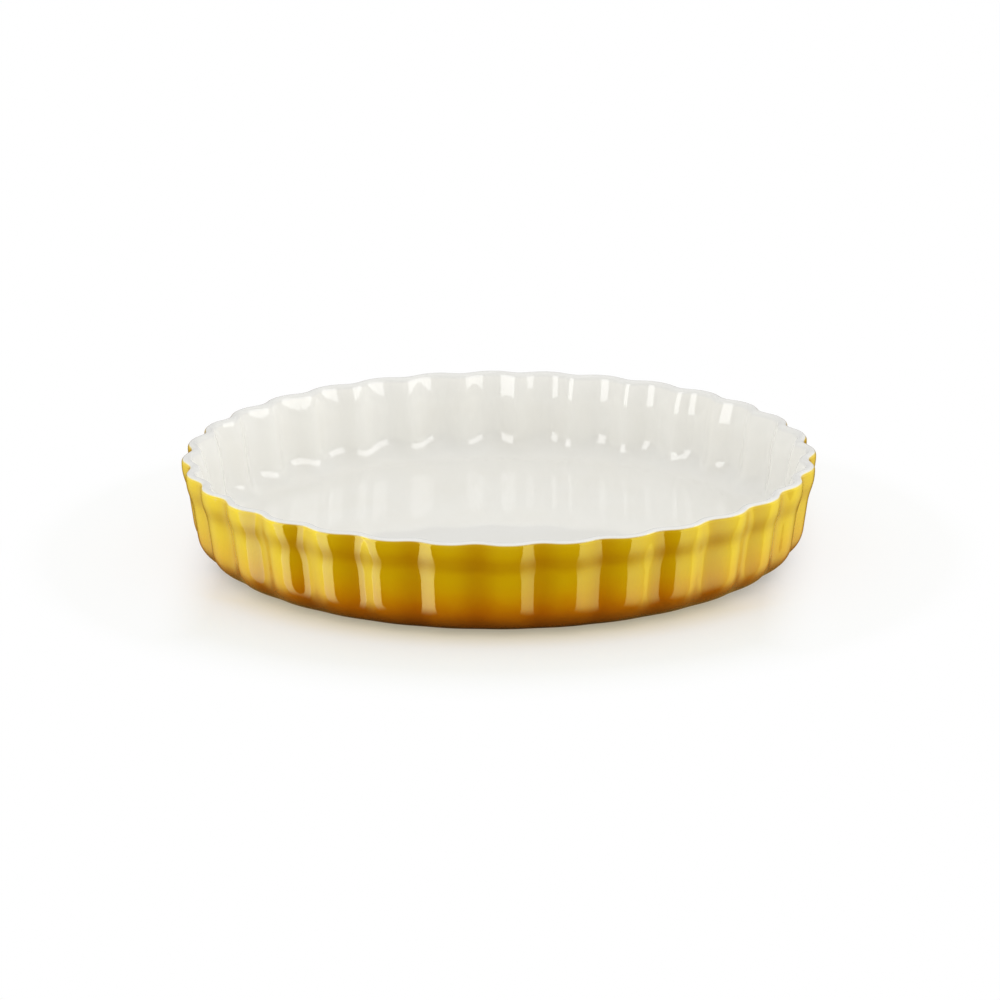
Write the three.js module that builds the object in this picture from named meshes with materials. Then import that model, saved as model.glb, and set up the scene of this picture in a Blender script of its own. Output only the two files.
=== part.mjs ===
// A round fluted tart dish in stoneware: one clay casting and the three coats of glaze fired onto it.
// Millimetres, +Z up. The origin is the middle of the base, on the surface that the foot stands on.
// A groove of the fluting points along -Y, the front.
import * as THREE from 'three';

// Overall sizes, glaze included
const RIM_DIAMETER = 280; // across the crests of two opposite flutes
const HEIGHT = 44;

// Fluting
const FLUTE_COUNT = 32;
const FLUTE_DEPTH = 3; // from the crest of a flute to the groove beside it
const CREST_FULLNESS = 2.8; // 2 is a plain sine wave, more gives wide crests and narrow grooves

// Outside, from the rim down
const COLLAR_HEIGHT = 4.5; // upright band under the rim
const NECK_HEIGHT = 13; // the soft step under the collar
const NECK_STEP = 3.2; // how far the collar stands out from the wall below it
const WALL_TAPER = 1.6; // how far the wall draws in between the neck and the heel
const HEEL_RISE = 14.4;
const HEEL_REACH = 15;

// Clay
const WALL = 4;
const FLOOR = 5.4;
const COVE_RISE = 12; // the round between the floor and the inside of the wall
const COVE_REACH = 11.5;

// Foot ring, left bare of glaze
const FOOT_HEIGHT = 1;
const FOOT_WIDTH = 6;
const BARE_EDGE = 1.5; // the glaze stops this far from the foot ring, on both sides

const GLAZE = 0.4;
const GLAZE_LINE = Math.PI / 4; // where white meets yellow on the round of the lip, up from its outer side

// Facets
const FLUTE_STEPS = 4;
const HEEL_STEPS = 3;
const NECK_STEPS = 3;
const COVE_STEPS = 3;
const LIP_STEPS = 4; // over the half round of the lip

// Derived places, on the clay and on the middle line of the fluting
const collarRadius = RIM_DIAMETER / 2 - FLUTE_DEPTH / 2 - GLAZE;
const wallTopRadius = collarRadius - NECK_STEP;
const wallLowRadius = wallTopRadius - WALL_TAPER;
const neckTop = HEIGHT - COLLAR_HEIGHT;
const neckLow = neckTop - NECK_HEIGHT;
const lip = { r: collarRadius - WALL / 2, z: HEIGHT - GLAZE - WALL / 2 };
const heel = { r: wallLowRadius - HEEL_REACH, z: FOOT_HEIGHT + HEEL_RISE };
const floorTop = FOOT_HEIGHT + FLOOR;
const coveTop = floorTop + COVE_RISE;
const cove = { r: wallRadius(coveTop) - WALL - COVE_REACH, z: coveTop };
const footOuter = heel.r - BARE_EDGE;
const footInner = footOuter - FOOT_WIDTH;

// The outside of the clay wall between the heel and the neck.
function wallRadius(z) {
  return THREE.MathUtils.mapLinear(z, heel.z, neckLow, wallLowRadius, wallTopRadius);
}

// A point of a profile: radius, height, and how much of the fluting it takes, from 0 to 1.
function point(r, z, fluting) {
  return { r, z, fluting };
}

// Points spread evenly over steps, from a share of 0 to a share of 1.
function spread(steps, at) {
  return Array.from({ length: steps + 1 }, (_, i) => at(i / steps));
}

// A quarter round about a centre, from straight below it to straight beside it. The fluting grows out of it.
function quarterRound(centre, reach, rise, steps) {
  return spread(steps, (share) => {
    const angle = ((1 - share) * Math.PI) / 2;
    const fluting = THREE.MathUtils.smoothstep(share, 0, 1);
    return point(centre.r + reach * Math.cos(angle), centre.z - rise * Math.sin(angle), fluting);
  });
}

// The soft step from the wall out to the collar, on a surface that lies inset from the outside of the clay.
// Outside it ends under the collar, inside it runs on up to the lip.
function neckLine(inset, top) {
  return spread(NECK_STEPS, (share) => {
    const out = NECK_STEP * THREE.MathUtils.smoothstep(share, 0, 1);
    return point(wallTopRadius - inset + out, THREE.MathUtils.lerp(neckLow, top, share), 1);
  });
}

// The half round of the lip between two angles, up from its outer side, on a surface grown from the clay.
function lipLine(from, to, grow) {
  const steps = Math.round((Math.abs(to - from) / Math.PI) * LIP_STEPS);
  return spread(steps, (share) => {
    const angle = from + (to - from) * share;
    const radius = WALL / 2 + grow;
    return point(lip.r + radius * Math.cos(angle), lip.z + radius * Math.sin(angle), 1);
  });
}

// The outside, from the foot up to the glaze line, grown from the clay.
function outsideLine(grow) {
  return [
    ...quarterRound(heel, HEEL_REACH + grow, HEEL_RISE + grow, HEEL_STEPS),
    ...neckLine(-grow, neckTop),
    ...lipLine(0, GLAZE_LINE, grow),
  ];
}

// The inside, from the middle of the floor up and over the lip to the glaze line, grown from the clay.
function insideLine(grow) {
  return [
    point(0, floorTop + grow, 0),
    ...quarterRound(cove, COVE_REACH - grow, COVE_RISE - grow, COVE_STEPS),
    ...neckLine(WALL + grow, lip.z).slice(0, -1),
    ...lipLine(Math.PI, GLAZE_LINE, grow),
  ];
}

// From -1 in a groove to 1 on a crest, round the dish from the front.
function flute(angle) {
  return 1 - 2 * Math.abs(Math.cos((FLUTE_COUNT * angle) / 2)) ** CREST_FULLNESS;
}

// Whether a line between two points of a profile climbs, or runs outwards on the level.
function climbs(from, to) {
  return from.z === to.z ? from.r < to.r : from.z < to.z;
}

// Turns a profile round the Z axis and gives each ring its share of the fluting.
// A facet is split the same way from either end of its profile, so coats that touch share their facets.
function flutedSolid(profile) {
  const sides = FLUTE_COUNT * FLUTE_STEPS;
  const places = [];
  const faces = [];
  for (let side = 0; side < sides; side++) {
    const angle = (side / sides) * 2 * Math.PI;
    const next = (side + 1) % sides;
    profile.forEach(({ r, z, fluting }, i) => {
      const radius = r + (fluting * FLUTE_DEPTH * flute(angle)) / 2;
      places.push(radius * Math.sin(angle), -radius * Math.cos(angle), z);
      if (i + 1 === profile.length) return;
      const a = side * profile.length + i;
      const b = next * profile.length + i;
      const rising = climbs(profile[i], profile[i + 1]);
      faces.push(a, b, rising ? a + 1 : b + 1);
      faces.push(rising ? b : a, b + 1, a + 1);
    });
  }
  const geometry = new THREE.BufferGeometry();
  geometry.setAttribute('position', new THREE.Float32BufferAttribute(places, 3));
  geometry.setIndex(faces);
  geometry.computeVertexNormals();
  return geometry;
}

// The clay: underside, foot ring, outside, lip and inside, as one casting.
function stonewareBody() {
  return flutedSolid([
    point(0, FOOT_HEIGHT, 0),
    point(footInner, FOOT_HEIGHT, 0),
    point(footInner, 0, 0),
    point(footOuter, 0, 0),
    point(footOuter, FOOT_HEIGHT, 0),
    ...outsideLine(0),
    ...insideLine(0).slice(0, -1).reverse(),
  ]);
}

// White glaze over the floor, the inside of the wall and the lip.
function insideGlaze() {
  return flutedSolid([...insideLine(0), ...insideLine(GLAZE).reverse()]);
}

// Yellow glaze over the outside, from the lip down to the foot.
function outsideGlaze() {
  const exposed = outsideLine(GLAZE);
  return flutedSolid([...exposed, ...outsideLine(0).reverse(), exposed[0]]);
}

// Glaze on the underside, within the foot ring.
function undersideGlaze() {
  const edge = footInner - BARE_EDGE;
  return flutedSolid([
    point(0, FOOT_HEIGHT - GLAZE, 0),
    point(edge, FOOT_HEIGHT - GLAZE, 0),
    point(edge, FOOT_HEIGHT, 0),
    point(0, FOOT_HEIGHT, 0),
  ]);
}

const clay = new THREE.MeshStandardMaterial({ color: 0xd9c9ae, roughness: 0.9, metalness: 0 });
const white = new THREE.MeshStandardMaterial({ color: 0xeeece6, roughness: 0.15, metalness: 0 });
const yellow = new THREE.MeshStandardMaterial({ color: 0xd9a910, roughness: 0.15, metalness: 0 });
const amber = new THREE.MeshStandardMaterial({ color: 0xa8650a, roughness: 0.2, metalness: 0 });

function piece(name, geometry, material) {
  const mesh = new THREE.Mesh(geometry, material);
  mesh.name = name;
  return mesh;
}

const dish = new THREE.Group();
dish.add(
  piece('stoneware_body', stonewareBody(), clay),
  piece('inside_glaze', insideGlaze(), white),
  piece('outside_glaze', outsideGlaze(), yellow),
  piece('underside_glaze', undersideGlaze(), amber),
);

export default dish;
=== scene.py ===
"""A round fluted tart dish: three glossy glazes over one stoneware casting, in a white studio.

Sizes are in metres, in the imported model's frame: +Z is up and the front looks along -Y.
"""

import logging
import math
from collections.abc import Callable, Sequence
from dataclasses import dataclass, field
from enum import Enum

import bpy
import numpy as np
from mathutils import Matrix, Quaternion, Vector

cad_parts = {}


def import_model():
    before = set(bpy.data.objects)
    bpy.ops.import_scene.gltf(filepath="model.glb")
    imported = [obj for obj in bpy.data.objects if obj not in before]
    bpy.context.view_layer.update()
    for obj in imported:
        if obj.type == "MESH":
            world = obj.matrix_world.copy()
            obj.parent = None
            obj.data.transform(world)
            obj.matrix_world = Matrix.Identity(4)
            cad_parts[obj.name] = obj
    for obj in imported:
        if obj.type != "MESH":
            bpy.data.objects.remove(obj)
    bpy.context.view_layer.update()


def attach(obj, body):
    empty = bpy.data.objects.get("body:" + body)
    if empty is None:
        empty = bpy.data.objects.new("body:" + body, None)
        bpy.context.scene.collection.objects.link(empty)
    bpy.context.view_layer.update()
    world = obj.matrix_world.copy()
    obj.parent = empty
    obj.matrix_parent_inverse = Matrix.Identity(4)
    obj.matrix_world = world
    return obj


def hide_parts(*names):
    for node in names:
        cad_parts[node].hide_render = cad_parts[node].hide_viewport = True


LOG = logging.getLogger("tart_dish")

Colour = tuple[float, float, float]
Band = tuple[float, float]
Socket = bpy.types.NodeSocket
Value = Socket | float | Sequence[float]

WHITE: Colour = (1.0, 1.0, 1.0)
GOLD: Colour = (1.0, 0.95, 0.30)
AMBER: Colour = (0.9, 0.6, 0.15)

QUARTER_TURN = math.pi / 2
CORNER_STEPS = 4
SEED_SIZE = 0.01  # the plane that the first point of a profile is made from
MERGE_GAP = 2e-6
SMOOTH_ANGLE = math.radians(50)
CAST_SIZE = 10.0  # so large that the cast pushes every point about equally far
GROOVE = "groove"  # the attribute for how deep in a groove a point lies
NOISE_BAND: Band = (0.3, 0.7)  # where most of a noise lies


class Facing(Enum):
    """The way the shown side of a turned piece looks."""

    OUT = "out"
    IN = "in"
    DOWN = "down"


class Glow(Enum):
    """What a lamp does for the dish: it lights it, or it only shows in the gloss."""

    LIGHTS = "lights"
    SHOWS = "shows"


class Reach(Enum):
    """Which piece of the dish a lamp falls on."""

    ALL = ""
    INSIDE = "inside_coat"
    OUTSIDE = "outside_coat"


class Blend(Enum):
    """How one colour goes over another."""

    MIX = "MIX"
    STAIN = "MULTIPLY"


class Output(Enum):
    """What a tree of nodes is for."""

    MATERIAL = "ShaderNodeOutputMaterial"
    LAMP = "ShaderNodeOutputLight"
    WORLD = "ShaderNodeOutputWorld"


@dataclass(frozen=True)
class Station:
    """A point of a turned profile: its radius, its height and its share of the fluting."""

    radius: float
    height: float
    fluting: float


def smooth(share: float) -> float:
    """An even share made to start and end gently."""
    return share * share * (3 - 2 * share)


def spread(steps: int, at: Callable[[float], Station]) -> list[Station]:
    """Stations spread evenly along a line, `at` giving the one at a share from 0 to 1."""
    return [at(i / steps) for i in range(steps + 1)]


def flat_disc(radius: float, height: float, steps: int) -> list[Station]:
    """A level disc from its middle to its edge, in rings of equal area."""
    return spread(steps, lambda share: Station(radius * math.sqrt(share), height, 0))


def round_corner(radius: float, height: float, size: float, start: float) -> list[Station]:
    """A small rounded corner without fluting.

    Args:
        radius: Radius of the dish at the middle of the round.
        height: Height of the round's lowest point.
        size: Radius of the round itself.
        start: Angle of its first station.

    Returns:
        Stations over a quarter turn.
    """

    def at(share: float) -> Station:
        """The station at a share of the corner."""
        a = start + share * QUARTER_TURN
        return Station(radius + size * math.cos(a), height + size * (1 + math.sin(a)), 0)

    return spread(CORNER_STEPS, at)


@dataclass(frozen=True)
class DishForm:
    """The sizes of the dish in metres, and the lines that its surfaces are turned from."""

    rim_diameter: float = 0.280  # across the crests of two opposite flutes
    height: float = 0.044
    flute_count: int = 32
    flute_depth: float = 0.003  # from a crest to the groove beside it
    crest_fullness: float = 2.8  # 2 is a plain sine wave, more gives wider crests
    collar_height: float = 0.0045
    neck_height: float = 0.013
    neck_step: float = 0.0032  # how far the collar stands out from the wall below it
    wall_taper: float = 0.0016
    heel_rise: float = 0.0144
    heel_reach: float = 0.015
    wall: float = 0.004
    floor: float = 0.0054
    cove_rise: float = 0.012
    cove_reach: float = 0.0115
    foot_height: float = 0.001
    foot_width: float = 0.006
    bare_edge: float = 0.0015  # the glaze stops this far from the foot ring
    glaze: float = 0.0004
    glaze_line: float = math.pi / 4  # where white meets yellow, up from the lip's outer side
    inside_fluting: float = 1.15  # depth of the fluting inside, against that outside
    flare: float = math.radians(23)  # how far the inside leans out at the lip
    columns_a_flute: int = 16
    round_steps: int = 40  # in the heel and in the cove
    rise_steps: int = 30  # in the neck and in the flare
    outer_lip_steps: int = 5
    inner_lip_steps: int = 14
    floor_steps: int = 6
    spacing: float = 0.0010  # between the stations of an eased line
    kink_reach: float = 0.0024  # how far to either side of it a kink is eased
    ease_passes: int = 2
    ease_samples: int = 21

    @property
    def collar_radius(self) -> float:
        """The clay under the rim, on the middle line of the fluting."""
        return self.rim_diameter / 2 - self.flute_depth / 2 - self.glaze

    @property
    def wall_top_radius(self) -> float:
        """The clay under the neck."""
        return self.collar_radius - self.neck_step

    @property
    def wall_low_radius(self) -> float:
        """The clay above the heel."""
        return self.wall_top_radius - self.wall_taper

    @property
    def neck_top(self) -> float:
        """Height where the neck meets the collar."""
        return self.height - self.collar_height

    @property
    def neck_low(self) -> float:
        """Height where the neck meets the wall."""
        return self.neck_top - self.neck_height

    @property
    def lip_centre(self) -> tuple[float, float]:
        """Radius and height of the middle of the lip's round."""
        return self.collar_radius - self.wall / 2, self.height - self.glaze - self.wall / 2

    @property
    def heel_centre(self) -> tuple[float, float]:
        """Radius and height of the middle of the heel's round."""
        return self.wall_low_radius - self.heel_reach, self.foot_height + self.heel_rise

    @property
    def floor_top(self) -> float:
        """Height of the clay floor inside."""
        return self.foot_height + self.floor

    @property
    def cove_centre(self) -> tuple[float, float]:
        """Radius and height of the middle of the cove's round."""
        top = self.floor_top + self.cove_rise
        return self.wall_radius(top) - self.wall - self.cove_reach, top

    @property
    def foot_outer(self) -> float:
        """Outer radius of the foot ring."""
        return self.heel_centre[0] - self.bare_edge

    @property
    def foot_inner(self) -> float:
        """Inner radius of the foot ring."""
        return self.foot_outer - self.foot_width

    def wall_radius(self, height: float) -> float:
        """Outside radius of the clay wall at a height between the heel and the neck."""
        share = (height - self.heel_centre[1]) / (self.neck_low - self.heel_centre[1])
        return self.wall_low_radius + share * self.wall_taper

    def quarter_round(
        self, centre: tuple[float, float], reach: float, rise: float
    ) -> list[Station]:
        """A quarter round out of which the fluting grows.

        Args:
            centre: Radius and height of the middle of the round.
            reach: Its size outwards.
            rise: Its size downwards.

        Returns:
            Stations from straight below the middle to straight beside it.
        """
        radius, height = centre

        def at(share: float) -> Station:
            """The station at a share of the round."""
            a = (1 - share) * QUARTER_TURN
            return Station(radius + reach * math.cos(a), height - rise * math.sin(a), smooth(share))

        return spread(self.round_steps, at)

    def neck_line(self, grow: float) -> list[Station]:
        """The soft step outside, from the wall out to the collar.

        Args:
            grow: How far the surface lies out from the clay.

        Returns:
            Stations from the wall up to the collar.
        """

        def at(share: float) -> Station:
            """The station at a share of the neck."""
            radius = self.wall_top_radius + grow + self.neck_step * smooth(share)
            return Station(radius, self.neck_low + self.neck_height * share, 1)

        return spread(self.rise_steps, at)

    def flare_line(self, grow: float) -> list[Station]:
        """The inside above the wall, which leans further and further out up to the lip.

        Args:
            grow: How far the surface lies in from the clay.

        Returns:
            Stations from the wall up to the lip.
        """
        low = Station(self.wall_top_radius - self.wall - grow, self.neck_low, 1)
        high = self.lip_line(math.pi - self.flare, grow, 1)[0]
        rise = high.height - low.height
        lean = rise * math.tan(self.flare)
        bow = low.radius - high.radius + lean

        def at(share: float) -> Station:
            """The station at a share of the flare."""
            left = 1 - share
            return Station(high.radius - (lean - bow * left) * left, high.height - rise * left, 1)

        return spread(self.rise_steps, at)

    def lip_line(self, start: float, grow: float, steps: int) -> list[Station]:
        """The round of the lip from one side to the line where the glazes meet.

        Args:
            start: Angle of its first station, up from the outer side.
            grow: How far the surface lies out from the clay.
            steps: How many steps it has.

        Returns:
            Stations from the start to the glaze line.
        """
        (radius, height), size = self.lip_centre, self.wall / 2 + grow

        def at(share: float) -> Station:
            """The station at a share of the round."""
            a = start + (self.glaze_line - start) * share
            return Station(radius + size * math.cos(a), height + size * math.sin(a), 1)

        return spread(steps, at)

    def outside_line(self, grow: float) -> list[Station]:
        """The outside, grown from the clay.

        Args:
            grow: How far the surface lies out from the clay.

        Returns:
            Stations from the foot up to the glaze line.
        """
        heel = self.quarter_round(self.heel_centre, self.heel_reach + grow, self.heel_rise + grow)
        lip = self.lip_line(0, grow, self.outer_lip_steps)
        return [*self.eased([*heel, *self.neck_line(grow), lip[0]]), *lip[1:]]

    def inside_line(self, grow: float) -> list[Station]:
        """The inside, grown from the clay.

        Args:
            grow: How far the surface lies in from the clay.

        Returns:
            Stations from the middle of the floor up and over the lip to the glaze line.
        """
        cove = self.quarter_round(self.cove_centre, self.cove_reach - grow, self.cove_rise - grow)
        lip = self.lip_line(math.pi - self.flare, grow, self.inner_lip_steps)
        floor = flat_disc(cove[0].radius, cove[0].height, self.floor_steps)
        side = self.eased([*floor[-2:-1], *cove, *self.flare_line(grow)])
        wall = [self.deepened(station, 0) for station in side]
        rim = [self.deepened(station, i / (len(lip) - 1)) for i, station in enumerate(lip)]
        return [*floor[:-2], *wall, *rim[1:]]

    def eased(self, line: list[Station]) -> list[Station]:
        """A line with its kinks rounded off, fixed at both ends.

        Args:
            line: The stations of the line.

        Returns:
            Evenly spaced stations.
        """
        points = np.array([(s.radius, s.height, s.fluting) for s in line])
        sides = np.linspace(-1, 1, self.ease_samples)[:, None]
        for _ in range(self.ease_passes):
            gone = np.append(0, np.cumsum(np.hypot(*np.diff(points[:, :2], axis=0).T)))
            even = np.linspace(0, gone[-1], round(gone[-1] / self.spacing) + 1)
            around = even + sides * np.minimum(self.kink_reach, np.minimum(even, gone[-1] - even))
            columns = [np.interp(around, gone, column).mean(axis=0) for column in points.T]
            points = np.stack(columns, axis=1)
        return [Station(*map(float, point)) for point in points]

    def deepened(self, station: Station, outward: float) -> Station:
        """A station whose fluting is deeper on the inside than on the outside.

        Args:
            station: The station on the inside or on the lip.
            outward: How far over the lip it lies, from 0 on the inside to 1 at the glaze line.

        Returns:
            The station with its share of the fluting.
        """
        more = self.inside_fluting + (1 - self.inside_fluting) * smooth(outward)
        return Station(station.radius, station.height, station.fluting * more)

    def crest(self, angle: np.ndarray) -> np.ndarray:
        """How far out the fluting stands at angles, from 0 in a groove to 1 on a crest."""
        return 1 - np.abs(np.cos(self.flute_count * angle / 2)) ** self.crest_fullness


@dataclass(frozen=True)
class Grain:
    """A cloudy noise: its scale to the metre and how many finer layers it has."""

    scale: float
    detail: float


@dataclass(frozen=True)
class Relief:
    """A shallow bump: the noise that it follows, its strength and its depth in metres."""

    grain: Grain
    strength: float
    depth: float


class NodeBench:
    """Lays out the nodes of one material, lamp or world."""

    def __init__(self, tree: bpy.types.NodeTree) -> None:
        """Clears the tree and keeps it."""
        self.tree = tree
        tree.nodes.clear()

    def add(
        self, kind: str, settings: dict | None = None, inputs: dict | None = None
    ) -> bpy.types.Node:
        """A new node.

        Args:
            kind: The node's type name.
            settings: Values of its own properties.
            inputs: Values or sockets for its inputs, by name or number.

        Returns:
            The node.
        """
        node = self.tree.nodes.new(kind)
        for name, value in (settings or {}).items():
            setattr(node, name, value)
        for name, value in (inputs or {}).items():
            self.feed(node.inputs[name], value)
        return node

    def feed(self, target: Socket, value: Value) -> None:
        """Links a socket to an input, or sets the input's own value.

        Args:
            target: The input.
            value: The socket, number or colour for it. A colour gets its alpha here.
        """
        if isinstance(value, bpy.types.NodeSocket):
            self.tree.links.new(value, target)
        elif isinstance(value, (int, float)):
            target.default_value = value
        else:
            full = tuple(value)
            target.default_value = full + (1.0,) * (len(target.default_value) - len(full))

    def place(self) -> Socket:
        """Where a point lies on its object."""
        return self.add("ShaderNodeTexCoord").outputs["Object"]

    def axes(self, vector: Socket) -> bpy.types.NodeOutputs:
        """The three numbers of a vector, by the name of their axis."""
        return self.add("ShaderNodeSeparateXYZ", None, {0: vector}).outputs

    def length(self, vector: Socket) -> Socket:
        """The length of a vector."""
        node = self.add("ShaderNodeVectorMath", {"operation": "LENGTH"}, {0: vector})
        return node.outputs["Value"]

    def aside(self, place: Socket) -> Socket:
        """How far to the left or right a point lies."""
        return self.calc("ABSOLUTE", self.axes(place)["X"])

    def calc(self, kind: str, a: Value, b: Value = 0.0) -> Socket:
        """The result of a Math node on two values."""
        return self.add("ShaderNodeMath", {"operation": kind}, {0: a, 1: b}).outputs[0]

    def share(self, value: Value, low: float, high: float) -> Socket:
        """A value made a gentle share of the way from one end to the other.

        Args:
            value: The value.
            low: Where the share is 0.
            high: Where the share is 1.

        Returns:
            The share, held between 0 and 1.
        """
        node = self.add(
            "ShaderNodeMapRange",
            {"interpolation_type": "SMOOTHSTEP", "clamp": True},
            {"Value": value, "From Min": low, "From Max": high},
        )
        return node.outputs["Result"]

    def line(self, value: Value, low: float, high: float, start: float, end: float) -> Socket:
        """A value mapped straight from one range to another.

        Args:
            value: The value.
            low: One end of its own range.
            high: The other end.
            start: What the low end becomes.
            end: What the high end becomes.

        Returns:
            The mapped value, held within the new range.
        """
        ends = {"From Min": low, "From Max": high, "To Min": start, "To Max": end}
        node = self.add("ShaderNodeMapRange", {"clamp": True}, {"Value": value, **ends})
        return node.outputs["Result"]

    def mix(self, factor: Value, a: Value, b: Value, blend: Blend = Blend.MIX) -> Socket:
        """One colour laid over another.

        Args:
            factor: How far the second colour covers the first, from 0 to 1.
            a: The first colour.
            b: The second colour.
            blend: Whether it covers or stains.

        Returns:
            The colour that comes out.
        """
        settings = {"data_type": "RGBA", "blend_type": blend.value}
        node = self.add("ShaderNodeMix", settings, {0: factor})
        colours = [socket for socket in node.inputs if socket.type == "RGBA"]
        for socket, colour in zip(colours, (a, b)):
            self.feed(socket, colour)
        return next(socket for socket in node.outputs if socket.type == "RGBA")

    def noise(self, place: Socket, grain: Grain) -> Socket:
        """Cloudy noise, around one half."""
        inputs = {"Vector": place, "Scale": grain.scale, "Detail": grain.detail}
        return self.add("ShaderNodeTexNoise", None, inputs).outputs[0]

    def ramp(self, factor: Value, stops: Sequence[tuple[float, Colour]]) -> Socket:
        """A colour read off a row of stops.

        Args:
            factor: Where to read, from 0 to 1.
            stops: Places along the row, with their colours.

        Returns:
            The colour there.
        """
        node = self.add("ShaderNodeValToRGB", None, {0: factor})
        elements = node.color_ramp.elements
        while len(elements) < len(stops):
            elements.new(0.5)
        for element, (at, colour) in zip(elements, stops):
            element.position = at
            element.color = (*colour, 1)
        return node.outputs[0]

    def bump(self, place: Socket, relief: Relief) -> Socket:
        """A surface direction made uneven by a relief.

        Args:
            place: Where a point lies.
            relief: The bump.

        Returns:
            The direction, for a shader's Normal.
        """
        height = self.noise(place, relief.grain)
        inputs = {"Height": height, "Strength": relief.strength, "Distance": relief.depth}
        return self.add("ShaderNodeBump", None, inputs).outputs[0]

    def cross(self, factor: Value, a: bpy.types.Node, b: bpy.types.Node) -> bpy.types.Node:
        """One shader that turns into another as a factor goes from 0 to 1."""
        inputs = {0: factor, 1: a.outputs[0], 2: b.outputs[0]}
        return self.add("ShaderNodeMixShader", None, inputs)

    def show(self, shader: bpy.types.Node, output: Output = Output.MATERIAL) -> None:
        """Ends the tree in a shader."""
        self.add(output.value, None, {"Surface": shader.outputs[0]})


def new_material(name: str) -> tuple[bpy.types.Material, NodeBench]:
    """A new material with an empty bench.

    Args:
        name: The material's name.

    Returns:
        The material and the bench of its nodes.
    """
    material = bpy.data.materials.new(name)
    material.use_nodes = True
    return material, NodeBench(material.node_tree)


@dataclass(frozen=True)
class Gloss:
    """An uneven gloss: its roughness, the noise this follows and the shares it swings between."""

    roughness: float
    grain: Grain
    swing: Band = (0.8, 1.3)

    def lay(self, bench: NodeBench, place: Socket) -> Socket:
        """The roughness, for a shader's Roughness."""
        ends = (self.roughness * share for share in self.swing)
        return bench.line(bench.noise(place, self.grain), *NOISE_BAND, *ends)


@dataclass(frozen=True)
class Finish:
    """A finish of the dish, on one shader."""

    name: str

    def inputs(self, bench: NodeBench, place: Socket) -> dict[str, Value]:
        """What the shader is fed, by the names of its inputs."""
        raise NotImplementedError

    def material(self) -> bpy.types.Material:
        """The finish as a material.

        Returns:
            The material, with all its nodes.
        """
        material, bench = new_material(self.name)
        inputs = self.inputs(bench, bench.place())
        bench.show(bench.add("ShaderNodeBsdfPrincipled", None, inputs))
        return material


@dataclass(frozen=True)
class BareClay(Finish):
    """Unglazed stoneware: pale, matt and speckled."""

    name: str = "bare_clay"
    pale: Colour = (0.66, 0.55, 0.40)
    dark: Colour = (0.50, 0.39, 0.27)
    speck: Colour = (0.20, 0.13, 0.08)
    roughness: float = 0.85
    specular: float = 0.25
    cloud: Grain = Grain(60, 4)
    speckle: Grain = Grain(900, 1)
    speck_band: Band = (0.66, 0.72)
    relief: Relief = Relief(Grain(1800, 2), 0.35, 0.0003)

    def inputs(self, bench: NodeBench, place: Socket) -> dict[str, Value]:
        """Cloudy clay with dark specks and a fine grain.

        Args:
            bench: The bench to lay the nodes on.
            place: Where a point lies.

        Returns:
            What the shader is fed.
        """
        body = bench.mix(bench.noise(place, self.cloud), self.dark, self.pale)
        specks = bench.share(bench.noise(place, self.speckle), *self.speck_band)
        return {
            "Base Color": bench.mix(specks, body, self.speck),
            "Roughness": self.roughness,
            "Specular IOR Level": self.specular,
            "Normal": bench.bump(place, self.relief),
        }


@dataclass(frozen=True)
class WhiteGlaze(Finish):
    """The warm white gloss inside the dish."""

    name: str = "white_glaze"
    colour: Colour = (0.868, 0.858, 0.812)
    thin: Colour = (0.858, 0.844, 0.790)
    worn: Colour = (0.815, 0.808, 0.775)
    worn_band: Band = (0.0415, 0.0428)
    cloud: Grain = Grain(38, 4)
    cloud_band: Band = (0.35, 0.75)
    gloss: Gloss = Gloss(0.018, Grain(120, 3))
    ior: float = 1.5
    specular: float = 0.45
    relief: Relief = Relief(Grain(55, 2), 0.006, 0.002)

    def inputs(self, bench: NodeBench, place: Socket) -> dict[str, Value]:
        """Faintly cloudy white that wears thin at the lip.

        Args:
            bench: The bench to lay the nodes on.
            place: Where a point lies.

        Returns:
            What the shader is fed.
        """
        cloud = bench.share(bench.noise(place, self.cloud), *self.cloud_band)
        body = bench.mix(cloud, self.colour, self.thin)
        edge = bench.share(bench.axes(place)["Z"], *self.worn_band)
        return {
            "Base Color": bench.mix(edge, body, self.worn),
            "Roughness": self.gloss.lay(bench, place),
            "IOR": self.ior,
            "Specular IOR Level": self.specular,
            "Normal": bench.bump(place, self.relief),
        }


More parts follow.
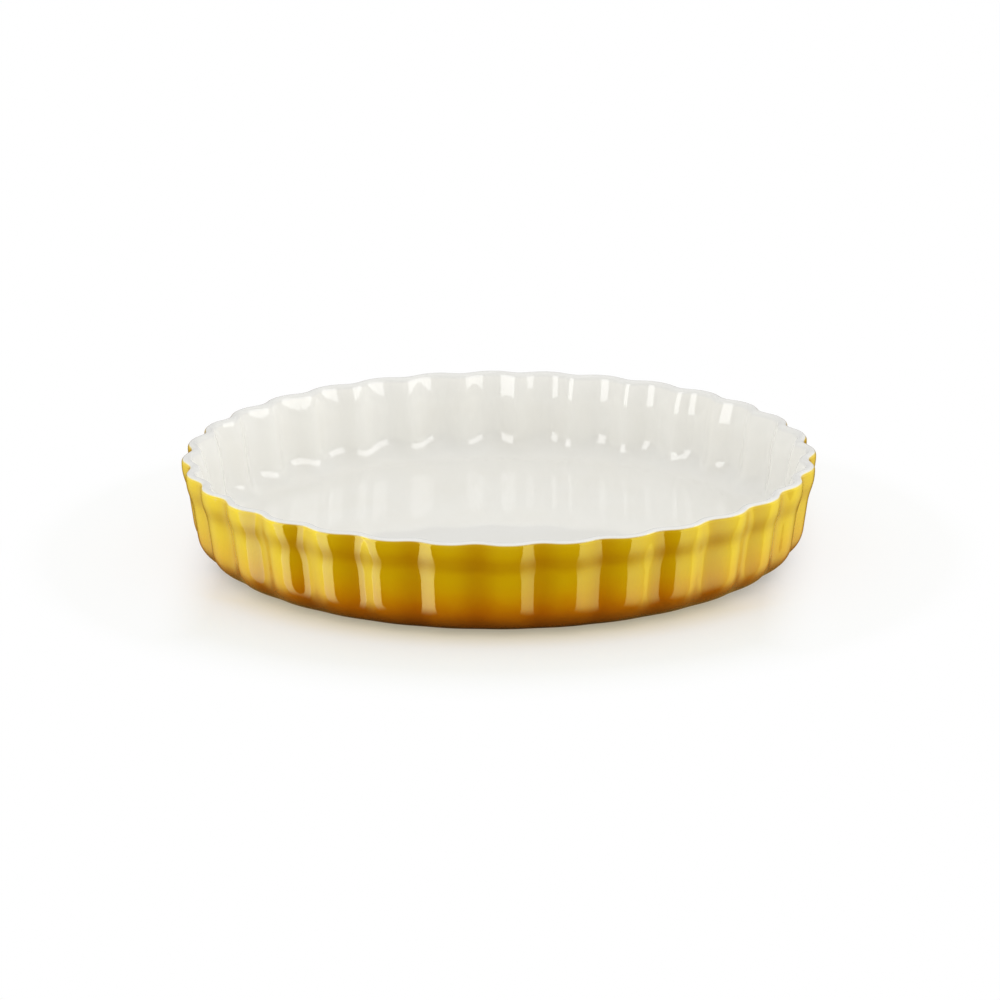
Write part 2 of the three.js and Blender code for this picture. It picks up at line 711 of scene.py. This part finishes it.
@dataclass(frozen=True)
class YellowGlaze(Finish):
    """The gloss outside: yellow at the rim, amber lower down and brown at the heel."""

    name: str = "yellow_glaze"
    span: float = 0.044
    stops: tuple[tuple[float, Colour], ...] = (
        (0.02, (0.145, 0.036, 0.004)),
        (0.09, (0.225, 0.060, 0.004)),
        (0.16, (0.33, 0.095, 0.003)),
        (0.23, (0.46, 0.140, 0.002)),
        (0.31, (0.55, 0.202, 0.001)),
        (0.39, (0.61, 0.275, 0.001)),
        (0.48, (0.64, 0.342, 0.001)),
        (0.60, (0.64, 0.382, 0.001)),
        # The darker band from 0.67 to 0.88, round the neck, is painted shade.
        (0.67, (0.64, 0.380, 0.001)),
        (0.74, (0.565, 0.305, 0.001)),
        (0.80, (0.565, 0.305, 0.001)),
        (0.88, (0.63, 0.380, 0.001)),
        (1.00, (0.66, 0.425, 0.004)),
    )
    # darker in the grooves: partly glaze pooled there, partly painted shade
    pooled: Colour = (0.86, 0.74, 0.68)
    thin: Colour = (0.80, 0.70, 0.42)
    thin_band: Band = (0.04285, 0.04325)
    run: Grain = Grain(70, 3)
    run_reach: float = 0.0012  # how far up or down the colours run
    gloss: Gloss = Gloss(0.07, Grain(140, 3))
    gloss_tint: Colour = (0.95, 1.0, 0.35)
    ior: float = 1.5
    specular: float = 1.0
    relief: Relief = Relief(Grain(60, 2), 0.03, 0.002)

    def inputs(self, bench: NodeBench, place: Socket) -> dict[str, Value]:
        """Colours that run down the wall, with a band of painted shade at the neck, darken in the
        grooves, partly as pooled glaze and partly as painted shade, and thin out at the lip.

        Args:
            bench: The bench to lay the nodes on.
            place: Where a point lies.

        Returns:
            What the shader is fed.
        """
        height = bench.axes(place)["Z"]
        noise = bench.noise(place, self.run)
        run = bench.line(noise, *NOISE_BAND, -self.run_reach, self.run_reach)
        level = bench.calc("DIVIDE", bench.calc("ADD", height, run), self.span)
        groove = bench.add("ShaderNodeAttribute", {"attribute_name": GROOVE}).outputs["Fac"]
        # the grooves are darkened, partly as pooled glaze and partly as painted shade
        body = bench.mix(groove, bench.ramp(level, self.stops), self.pooled, Blend.STAIN)
        edge = bench.share(height, *self.thin_band)
        return {
            "Base Color": bench.mix(edge, body, self.thin),
            "Roughness": self.gloss.lay(bench, place),
            "IOR": self.ior,
            "Specular IOR Level": self.specular,
            "Specular Tint": self.gloss_tint,
            "Normal": bench.bump(place, self.relief),
        }


@dataclass(frozen=True)
class AmberGlaze(Finish):
    """The gloss on the underside, thin and brown at its edge."""

    name: str = "underside_glaze"
    colour: Colour = (0.52, 0.23, 0.010)
    pooled: Colour = (0.36, 0.13, 0.008)
    thin: Colour = (0.30, 0.12, 0.03)
    thin_band: Band = (0.1033, 0.1093)
    cloud: Grain = Grain(30, 5)
    cloud_band: Band = (0.35, 0.7)
    gloss: Gloss = Gloss(0.12, Grain(90, 3), (0.8, 1.4))
    ior: float = 1.5
    relief: Relief = Relief(Grain(45, 3), 0.15, 0.002)

    def inputs(self, bench: NodeBench, place: Socket) -> dict[str, Value]:
        """Cloudy amber with a brown edge.

        Args:
            bench: The bench to lay the nodes on.
            place: Where a point lies.

        Returns:
            What the shader is fed.
        """
        cloud = bench.share(bench.noise(place, self.cloud), *self.cloud_band)
        body = bench.mix(cloud, self.colour, self.pooled)
        edge = bench.share(bench.length(place), *self.thin_band)
        return {
            "Base Color": bench.mix(edge, body, self.thin),
            "Roughness": self.gloss.lay(bench, place),
            "IOR": self.ior,
            "Normal": bench.bump(place, self.relief),
        }


def apply_modifier(piece: bpy.types.Object, kind: str, settings: dict) -> None:
    """Adds a modifier to the active piece and applies it.

    Args:
        piece: The active object.
        kind: The modifier's type.
        settings: Values of its properties.
    """
    modifier = piece.modifiers.new(kind.lower(), kind)
    for name, value in settings.items():
        setattr(modifier, name, value)
    bpy.ops.object.modifier_apply(modifier=modifier.name)


@dataclass
class TurnedPiece:
    """A piece of the dish that is turned from a profile, fluted and dressed."""

    form: DishForm
    finish: Finish
    name: str = ""
    node: str = ""
    slot: str = ""
    facing: Facing = Facing.OUT
    thickness: float = 0.0
    closed: bool = False
    object: bpy.types.Object | None = field(default=None, init=False)

    def profile(self) -> list[Station]:
        """The stations that the piece is turned from."""
        raise NotImplementedError

    def groove_radius(self, station: Station) -> float:
        """The radius of a station in a groove of the fluting."""
        return station.radius - station.fluting * self.form.flute_depth / 2

    def build(self) -> bpy.types.Object:
        """Turns, flutes, thickens and dresses the piece.

        Returns:
            The finished object, riding on the dish.
        """
        stations = self.profile()
        self.draw(stations)
        self.turn()
        self.flute(stations)
        if self.thickness:
            self.thicken()
        bpy.ops.object.shade_smooth_by_angle(angle=SMOOTH_ANGLE)
        self.dress()
        return self.object

    def draw(self, stations: list[Station]) -> None:
        """Draws the profile as a chain of points at the bottom of a groove.

        Args:
            stations: The stations of the profile.
        """
        bpy.ops.object.select_all(action="DESELECT")
        bpy.ops.mesh.primitive_plane_add(size=SEED_SIZE)
        self.object = bpy.context.object
        self.object.name = self.object.data.name = self.name
        places = [Vector((self.groove_radius(s), 0, s.height)) for s in stations]
        bpy.ops.object.mode_set(mode="EDIT")
        bpy.ops.mesh.select_all(action="SELECT")
        bpy.ops.mesh.merge(type="CENTER")
        bpy.ops.transform.translate(value=places[0])
        for a, b in zip(places, places[1:]):
            bpy.ops.mesh.extrude_vertices_move(TRANSFORM_OT_translate={"value": b - a})

    def turn(self) -> None:
        """Spins the profile into one flute, copies that round and turns its faces the right way."""
        count = self.form.flute_count
        pitch = 2 * math.pi / count
        round_axis = {"center": (0, 0, 0), "axis": (0, 0, 1)}
        bpy.ops.mesh.select_all(action="SELECT")
        bpy.ops.mesh.spin(steps=self.form.columns_a_flute, angle=pitch, **round_axis)
        bpy.ops.mesh.select_all(action="SELECT")
        bpy.ops.mesh.spin(steps=count - 1, angle=2 * math.pi - pitch, dupli=True, **round_axis)
        bpy.ops.mesh.select_all(action="SELECT")
        bpy.ops.mesh.remove_doubles(threshold=MERGE_GAP)
        bpy.ops.mesh.normals_make_consistent(inside=False)
        bpy.ops.object.mode_set(mode="OBJECT")
        if not self.faces_right():
            bpy.ops.object.mode_set(mode="EDIT")
            bpy.ops.mesh.select_all(action="SELECT")
            bpy.ops.mesh.flip_normals()
            bpy.ops.object.mode_set(mode="OBJECT")

    def faces_right(self) -> bool:
        """Whether the faces look the way that the shown side does.

        Returns:
            True for a closed piece, and for an open one that mostly faces that way.
        """
        if self.closed:
            return True
        total = 0.0
        for face in self.object.data.polygons:
            normal = face.normal
            outward = normal.dot(Vector((face.center.x, face.center.y, 0)).normalized())
            ways = {Facing.OUT: outward, Facing.IN: normal.z, Facing.DOWN: -normal.z}
            total += ways[self.facing] * face.area
        return total > 0

    def flute(self, stations: list[Station]) -> None:
        """Pushes the crests of the flutes out and keeps how deep in a groove each point lies.

        Args:
            stations: The stations of the profile.
        """
        mesh = self.object.data
        places = np.zeros(len(mesh.vertices) * 3, np.float32)
        mesh.vertices.foreach_get("co", places)
        x, y, z = places.reshape(-1, 3).T
        line = np.array([(self.groove_radius(s), s.height) for s in stations])
        gaps = np.hypot(np.hypot(x, y)[:, None] - line[:, 0], z[:, None] - line[:, 1])
        fluting = np.array([s.fluting for s in stations])[gaps.argmin(axis=1)]
        crest = self.form.crest(np.arctan2(y, x))
        groove = mesh.attributes.new(GROOVE, "FLOAT", "POINT")
        depth = np.minimum(fluting, 1) * (1 - crest)
        groove.data.foreach_set("value", depth.astype(np.float32))
        deepest = fluting.max()
        if not deepest:
            return
        group = self.object.vertex_groups.new(name="crest")
        for index, weight in enumerate(fluting * crest / deepest):
            group.add([index], float(weight), "REPLACE")
        push = deepest * self.form.flute_depth / (CAST_SIZE - self.form.wall_top_radius)
        settings = {
            "cast_type": "CYLINDER",
            "size": CAST_SIZE,
            "use_radius_as_size": False,
            "use_z": False,
            "factor": push,
            "vertex_group": group.name,
        }
        apply_modifier(self.object, "CAST", settings)
        self.object.vertex_groups.clear()

    def thicken(self) -> None:
        """Gives a coat its thickness, inwards from its shown side."""
        settings = {"thickness": self.thickness, "offset": -1, "use_even_offset": True}
        apply_modifier(self.object, "SOLIDIFY", settings)

    def dress(self) -> None:
        """Gives the piece its finish and its place in the frame."""
        self.object.data.materials.clear()
        self.object.data.materials.append(self.finish.material())
        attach(self.object, "root")
        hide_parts(self.node)


@dataclass
class ClayCasting(TurnedPiece):
    """The stoneware itself: underside, foot ring, outside, lip and inside as one casting."""

    name: str = "clay_casting"
    node: str = "stoneware_body"
    slot: str = "bare_clay"
    closed: bool = True
    foot_round: float = 0.0006
    under_steps: int = 4

    def profile(self) -> list[Station]:
        """The whole closed outline.

        Returns:
            Stations from the middle of the underside, round the lip, to the middle of the floor.
        """
        form, size = self.form, self.foot_round
        foot = [
            *round_corner(form.foot_inner + size, 0, size, 2 * QUARTER_TURN),
            *round_corner(form.foot_outer - size, 0, size, 3 * QUARTER_TURN),
            Station(form.foot_outer, form.foot_height, 0),
        ]
        under = flat_disc(form.foot_inner, form.foot_height, self.under_steps)
        return [*under, *foot, *form.outside_line(0), *form.inside_line(0)[:-1][::-1]]


@dataclass
class InsideCoat(TurnedPiece):
    """White glaze over the floor, the inside of the wall and the lip."""

    name: str = "inside_coat"
    node: str = "inside_glaze"
    slot: str = "white_glaze"
    facing: Facing = Facing.IN

    def profile(self) -> list[Station]:
        """The shown side of the coat."""
        return self.form.inside_line(self.form.glaze)


@dataclass
class OutsideCoat(TurnedPiece):
    """Yellow glaze over the outside, from the lip down to the foot."""

    name: str = "outside_coat"
    node: str = "outside_glaze"
    slot: str = "yellow_glaze"
    facing: Facing = Facing.OUT

    def profile(self) -> list[Station]:
        """The shown side of the coat."""
        return self.form.outside_line(self.form.glaze)


@dataclass
class UndersideCoat(TurnedPiece):
    """Glaze on the underside, within the foot ring."""

    name: str = "underside_coat"
    node: str = "underside_glaze"
    slot: str = "underside_glaze"
    facing: Facing = Facing.DOWN
    edge_round: float = 0.0003
    flat_steps: int = 6

    def profile(self) -> list[Station]:
        """The shown side of the coat.

        Returns:
            Stations from its middle to its rounded edge.
        """
        low = self.form.foot_height - self.form.glaze
        radius = self.form.foot_inner - self.form.bare_edge - self.edge_round
        flat = flat_disc(radius, low, self.flat_steps)
        return [*flat[:-1], *round_corner(radius, low, self.edge_round, 3 * QUARTER_TURN)]


def bearing_way(bearing: float, rise: float) -> Vector:
    """The way from the dish at a bearing from its front and a rise above the floor, in degrees."""
    a, e = math.radians(bearing), math.radians(rise)
    return Vector((math.sin(a) * math.cos(e), -math.cos(a) * math.cos(e), math.sin(e)))


@dataclass(frozen=True)
class Lamp:
    """An upright soft box beside the dish. Its bearing is turned from the camera's, in degrees."""

    name: str
    bearing: float
    width: float
    radiance: float
    low: float = -1.85
    high: float = 1.1
    glow: Glow = Glow.SHOWS
    falls_on: Reach = Reach.ALL
    tint: Colour = WHITE
    back_tint: Colour = WHITE
    back_share: float = 1.0  # what is left of its strength at its back edge
    foot_fade: float = 0.5  # how much of its height it fades in over, from its foot
    distance: float = 1.3

    def build(self, camera_bearing: float) -> bpy.types.Object:
        """Sets the lamp up, looking at the dish.

        Args:
            camera_bearing: The camera's bearing from the front, in degrees.

        Returns:
            The lamp's object.
        """
        data = bpy.data.lights.new(self.name, "AREA")
        data.shape = "RECTANGLE"
        data.size, data.size_y = self.width, self.high - self.low
        data.energy = self.radiance * math.pi * data.size * data.size_y
        self.fade(data)
        lamp = bpy.data.objects.new(self.name, data)
        bpy.context.scene.collection.objects.link(lamp)
        back = bearing_way(camera_bearing + self.bearing, 0)
        lamp.location = back * self.distance + Vector((0, 0, (self.low + self.high) / 2))
        lamp.rotation_mode = "QUATERNION"
        lamp.rotation_quaternion = (-back).to_track_quat("-Z", "Y")
        lamp.visible_camera = False
        lamp.visible_diffuse = self.glow is Glow.LIGHTS
        lamp.visible_glossy = self.glow is Glow.SHOWS
        if self.falls_on is not Reach.ALL:
            lit = bpy.data.collections.new(self.name)
            lit.objects.link(bpy.data.objects[self.falls_on.value])
            lamp.light_linking.receiver_collection = lit
        return lamp

    def fade(self, data: bpy.types.Light) -> None:
        """Lets the lamp fade from its edge nearest the camera to its back edge, and to its foot.

        Args:
            data: The lamp's light.
        """
        data.use_nodes = True
        bench = NodeBench(data.node_tree)
        axes = bench.axes(bench.add("ShaderNodeNewGeometry").outputs["Parametric"])
        ends = (0.0, 1.0) if self.bearing > 0 else (1.0, 0.0)
        backwards = bench.line(axes["X"], 0.0, 1.0, *ends)
        strength = bench.line(backwards, 0.0, 1.0, 1.0, self.back_share)
        if self.foot_fade:
            strength = bench.calc("MULTIPLY", strength, bench.share(axes["Y"], 0.0, self.foot_fade))
        colour = bench.mix(backwards, self.tint, self.back_tint)
        glow = bench.add("ShaderNodeEmission", None, {"Color": colour, "Strength": strength})
        bench.show(glow, Output.LAMP)


LAMPS: tuple[Lamp, ...] = (
    Lamp("left_strip", -69, 0.70, 3.3, falls_on=Reach.OUTSIDE),
    Lamp(
        "left_wing", -117, 1.69, 4.2, falls_on=Reach.OUTSIDE,
        tint=GOLD, back_tint=GOLD, back_share=0.02, foot_fade=0.55,
    ),
    Lamp("right_panel", 67.5, 1.35, 2.3, falls_on=Reach.OUTSIDE, back_tint=GOLD),
    Lamp(
        "right_wing", 122.5, 1.35, 3.4, falls_on=Reach.OUTSIDE,
        tint=GOLD, back_tint=GOLD, back_share=0.02,
    ),
    Lamp("inside_strip", -50.7, 0.60, 4.7, low=0.0, falls_on=Reach.INSIDE, foot_fade=0.0),
    Lamp("inside_panel", 67.5, 1.60, 3.8, low=0.40, falls_on=Reach.INSIDE, foot_fade=0.0),
    Lamp("inside_key", 50, 1.3, 0.85, 0.5, 1.3, Glow.LIGHTS, Reach.INSIDE),
    Lamp("left_fill", -90, 1.3, 1.5, 0.0, 0.5, Glow.LIGHTS),
    Lamp("right_fill", 90, 1.3, 1.8, 0.0, 0.5, Glow.LIGHTS),
)


def name_new(name: str, material: bpy.types.Material) -> bpy.types.Object:
    """Names the object just added and gives it its material.

    Args:
        name: The name of the object and of its mesh.
        material: Its material.

    Returns:
        The object.
    """
    made = bpy.context.object
    made.name = made.data.name = name
    made.data.materials.append(material)
    return made


@dataclass
class Studio:
    """Floor, room, lamps and camera round the dish."""

    floor_size: float = 6.0
    floor_bounce: Colour = (0.80, 0.80, 0.80)
    floor_shown: Colour = (0.945, 0.965, 0.935)
    # Painted warm bounce light on the floor close to the dish, in the colour it shows and in its
    # glow.
    floor_painted_bounce: Colour = (0.945, 0.902, 0.710)  # close to the dish
    floor_glow_painted_bounce: Colour = (1.0, 0.905, 0.69)
    warm_reach: Band = (0.124, 0.150)  # from the middle of the dish
    warm_aside: Band = (0.085, 0.132)  # to its left and right
    floor_lift: float = 0.35  # how much of the shadow is lifted everywhere
    lift_reach: Band = (0.145, 0.220)
    # painted light: how much more of the shadow is lifted to the left and right
    side_lift: float = 0.8
    lift_aside: Band = (0.095, 0.145)
    # The shade is painted shade and painted reflection, seen only in the heel's gloss.
    shade_reach: Band = (0.124, 0.147)  # where the shade fades out
    shade_aside: Band = (0.124 / 3, 0.124)  # where its glow grows
    shade_sides: int = 128
    shade_drop: float = 0.0002
    shade_glow: Band = (0.06, 0.36)  # in the middle and at the sides
    ambient: Band = (1.08, 0.75)  # from the front and from the back
    room_glow: Band = (0.05, 0.55)  # in front and at the back
    room_turn: Band = (-0.5, 0.4)  # where the one turns into the other
    below_glow: Band = (0.03, 0.28)
    below_turn: Band = (0.0, 0.9)
    skyline: Band = (-0.10, 0.0)  # where what is below turns into the room
    camera_bearing: float = 4.05
    camera_rise: float = 16.43
    camera_distance: float = 2.722
    camera_roll: float = -0.30
    camera_lens: float = 221.7
    camera_sensor: float = 36
    camera_clip: Band = (0.05, 50)
    aim_across: float = 0.00026
    aim_height: float = 0.02231
    lamps: tuple[Lamp, ...] = LAMPS

    def build(self) -> None:
        """Sets the whole studio up."""
        self.lay_floor()
        self.lay_shade()
        self.paint_room()
        for lamp in self.lamps:
            lamp.build(self.camera_bearing)
        self.set_camera()
        bpy.context.scene.view_settings.view_transform = "Standard"

    def lay_floor(self) -> None:
        """A white floor that shows the dish's shadow, lifted by painted light and painted warm
        close to the dish as bounce light, and fades into the white room.
        """
        material, bench = new_material("studio_floor")
        place = bench.place()
        reach, aside = bench.length(place), bench.aside(place)
        camera = bench.add("ShaderNodeLightPath").outputs["Is Camera Ray"]
        beside = bench.share(aside, *self.warm_aside)
        away = bench.calc("MAXIMUM", bench.share(reach, *self.warm_reach), beside)
        # painted warm bounce light close to the dish
        shown = bench.mix(away, self.floor_painted_bounce, self.floor_shown)
        colour = bench.mix(camera, self.floor_bounce, shown)
        paper = bench.add("ShaderNodeBsdfDiffuse", None, {"Color": colour})
        # the glow is painted warm close to the dish, as bounce light
        white = bench.mix(away, self.floor_glow_painted_bounce, WHITE)
        glow = bench.add("ShaderNodeEmission", None, {"Color": white})
        # painted light lifts the shadow to the left and right of the dish
        sides = bench.calc("MULTIPLY", bench.share(aside, *self.lift_aside), self.side_lift)
        lift = bench.calc("MAXIMUM", bench.share(reach, *self.lift_reach), self.floor_lift)
        lift = bench.calc("MAXIMUM", lift, sides)
        bench.show(bench.cross(bench.calc("MULTIPLY", camera, lift), paper, glow))
        bpy.ops.object.select_all(action="DESELECT")
        bpy.ops.mesh.primitive_plane_add(size=self.floor_size)
        floor = name_new("studio_floor", material)
        floor.visible_glossy = False

    def lay_shade(self) -> None:
        """A sheet seen only in the gloss: painted shade of the floor close to the dish, as the heel
        reflects it, with a painted amber glow that grows to the sides.
        """
        material, bench = new_material("floor_shade")
        place = bench.place()
        level = bench.line(bench.aside(place), *self.shade_aside, *self.shade_glow)
        # painted reflection: an amber glow, stronger to the sides
        glow = bench.add("ShaderNodeEmission", None, {"Color": AMBER, "Strength": level})
        clear = bench.add("ShaderNodeBsdfTransparent")
        away = bench.share(bench.length(place), *self.shade_reach)
        bench.show(bench.cross(away, glow, clear))
        bpy.ops.object.select_all(action="DESELECT")
        bpy.ops.mesh.primitive_circle_add(
            vertices=self.shade_sides,
            radius=self.shade_reach[1],
            fill_type="NGON",
            location=(0, 0, -self.shade_drop),
        )
        shade = name_new("floor_shade", material)
        shade.visible_camera = False
        shade.visible_diffuse = False
        shade.visible_shadow = False

    def paint_room(self) -> None:
        """A white room behind the dish, greyer in front of it, and an even light from all round."""
        world = bpy.data.worlds.new("white_room")
        bpy.context.scene.world = world
        world.use_nodes = True
        bench = NodeBench(world.node_tree)
        way = bench.axes(bench.add("ShaderNodeTexCoord").outputs["Generated"])
        path = bench.add("ShaderNodeLightPath").outputs
        camera = path["Is Camera Ray"]
        wall = bench.line(way["Y"], *self.room_turn, *self.room_glow)
        below = bench.line(way["Y"], *self.below_turn, *self.below_glow)
        above = bench.line(way["Z"], *self.skyline, 0.0, 1.0)
        upper = bench.calc("MULTIPLY", wall, above)
        lower = bench.calc("MULTIPLY", below, bench.calc("SUBTRACT", 1.0, above))
        shown = bench.calc("MAXIMUM", camera, bench.calc("ADD", upper, lower))
        tint = bench.mix(bench.calc("MAXIMUM", camera, above), AMBER, WHITE)
        backdrop = bench.add("ShaderNodeBackground", None, {"Color": tint, "Strength": shown})
        even = bench.line(way["Y"], -1.0, 1.0, *self.ambient)
        plain = bench.add("ShaderNodeBackground", None, {"Color": WHITE, "Strength": even})
        direct = bench.calc("MAXIMUM", camera, path["Is Glossy Ray"])
        direct = bench.calc("MAXIMUM", direct, path["Is Transmission Ray"])
        bench.show(bench.cross(direct, plain, backdrop), Output.WORLD)

    def set_camera(self) -> None:
        """A camera at the photograph's viewing angle."""
        data = bpy.data.cameras.new("camera")
        data.sensor_width = self.camera_sensor
        data.lens = self.camera_lens
        data.clip_start, data.clip_end = self.camera_clip
        camera = bpy.data.objects.new("camera", data)
        bpy.context.scene.collection.objects.link(camera)
        back = bearing_way(self.camera_bearing, self.camera_rise)
        turn = (-back).to_track_quat("-Z", "Y")
        right = turn @ Vector((1, 0, 0))
        aim = Vector((0, 0, self.aim_height)) + right * self.aim_across
        camera.location = aim + back * self.camera_distance
        camera.rotation_mode = "QUATERNION"
        roll = Quaternion((0, 0, 1), math.radians(self.camera_roll))
        camera.rotation_quaternion = turn @ roll
        bpy.context.scene.camera = camera


def main() -> None:
    """Loads the frame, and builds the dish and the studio."""
    logging.basicConfig(level=logging.INFO, format="%(name)s: %(message)s")
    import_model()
    form = DishForm()
    pieces = (
        ClayCasting(form, BareClay()),
        InsideCoat(form, WhiteGlaze(), thickness=form.glaze),
        OutsideCoat(form, YellowGlaze(), thickness=form.glaze),
        UndersideCoat(form, AmberGlaze()),
    )
    for piece in pieces:
        made = piece.build()
        LOG.info("%s stands for %s, %d faces", made.name, piece.node, len(made.data.polygons))
    Studio().build()


if __name__ == "__main__":
    main()
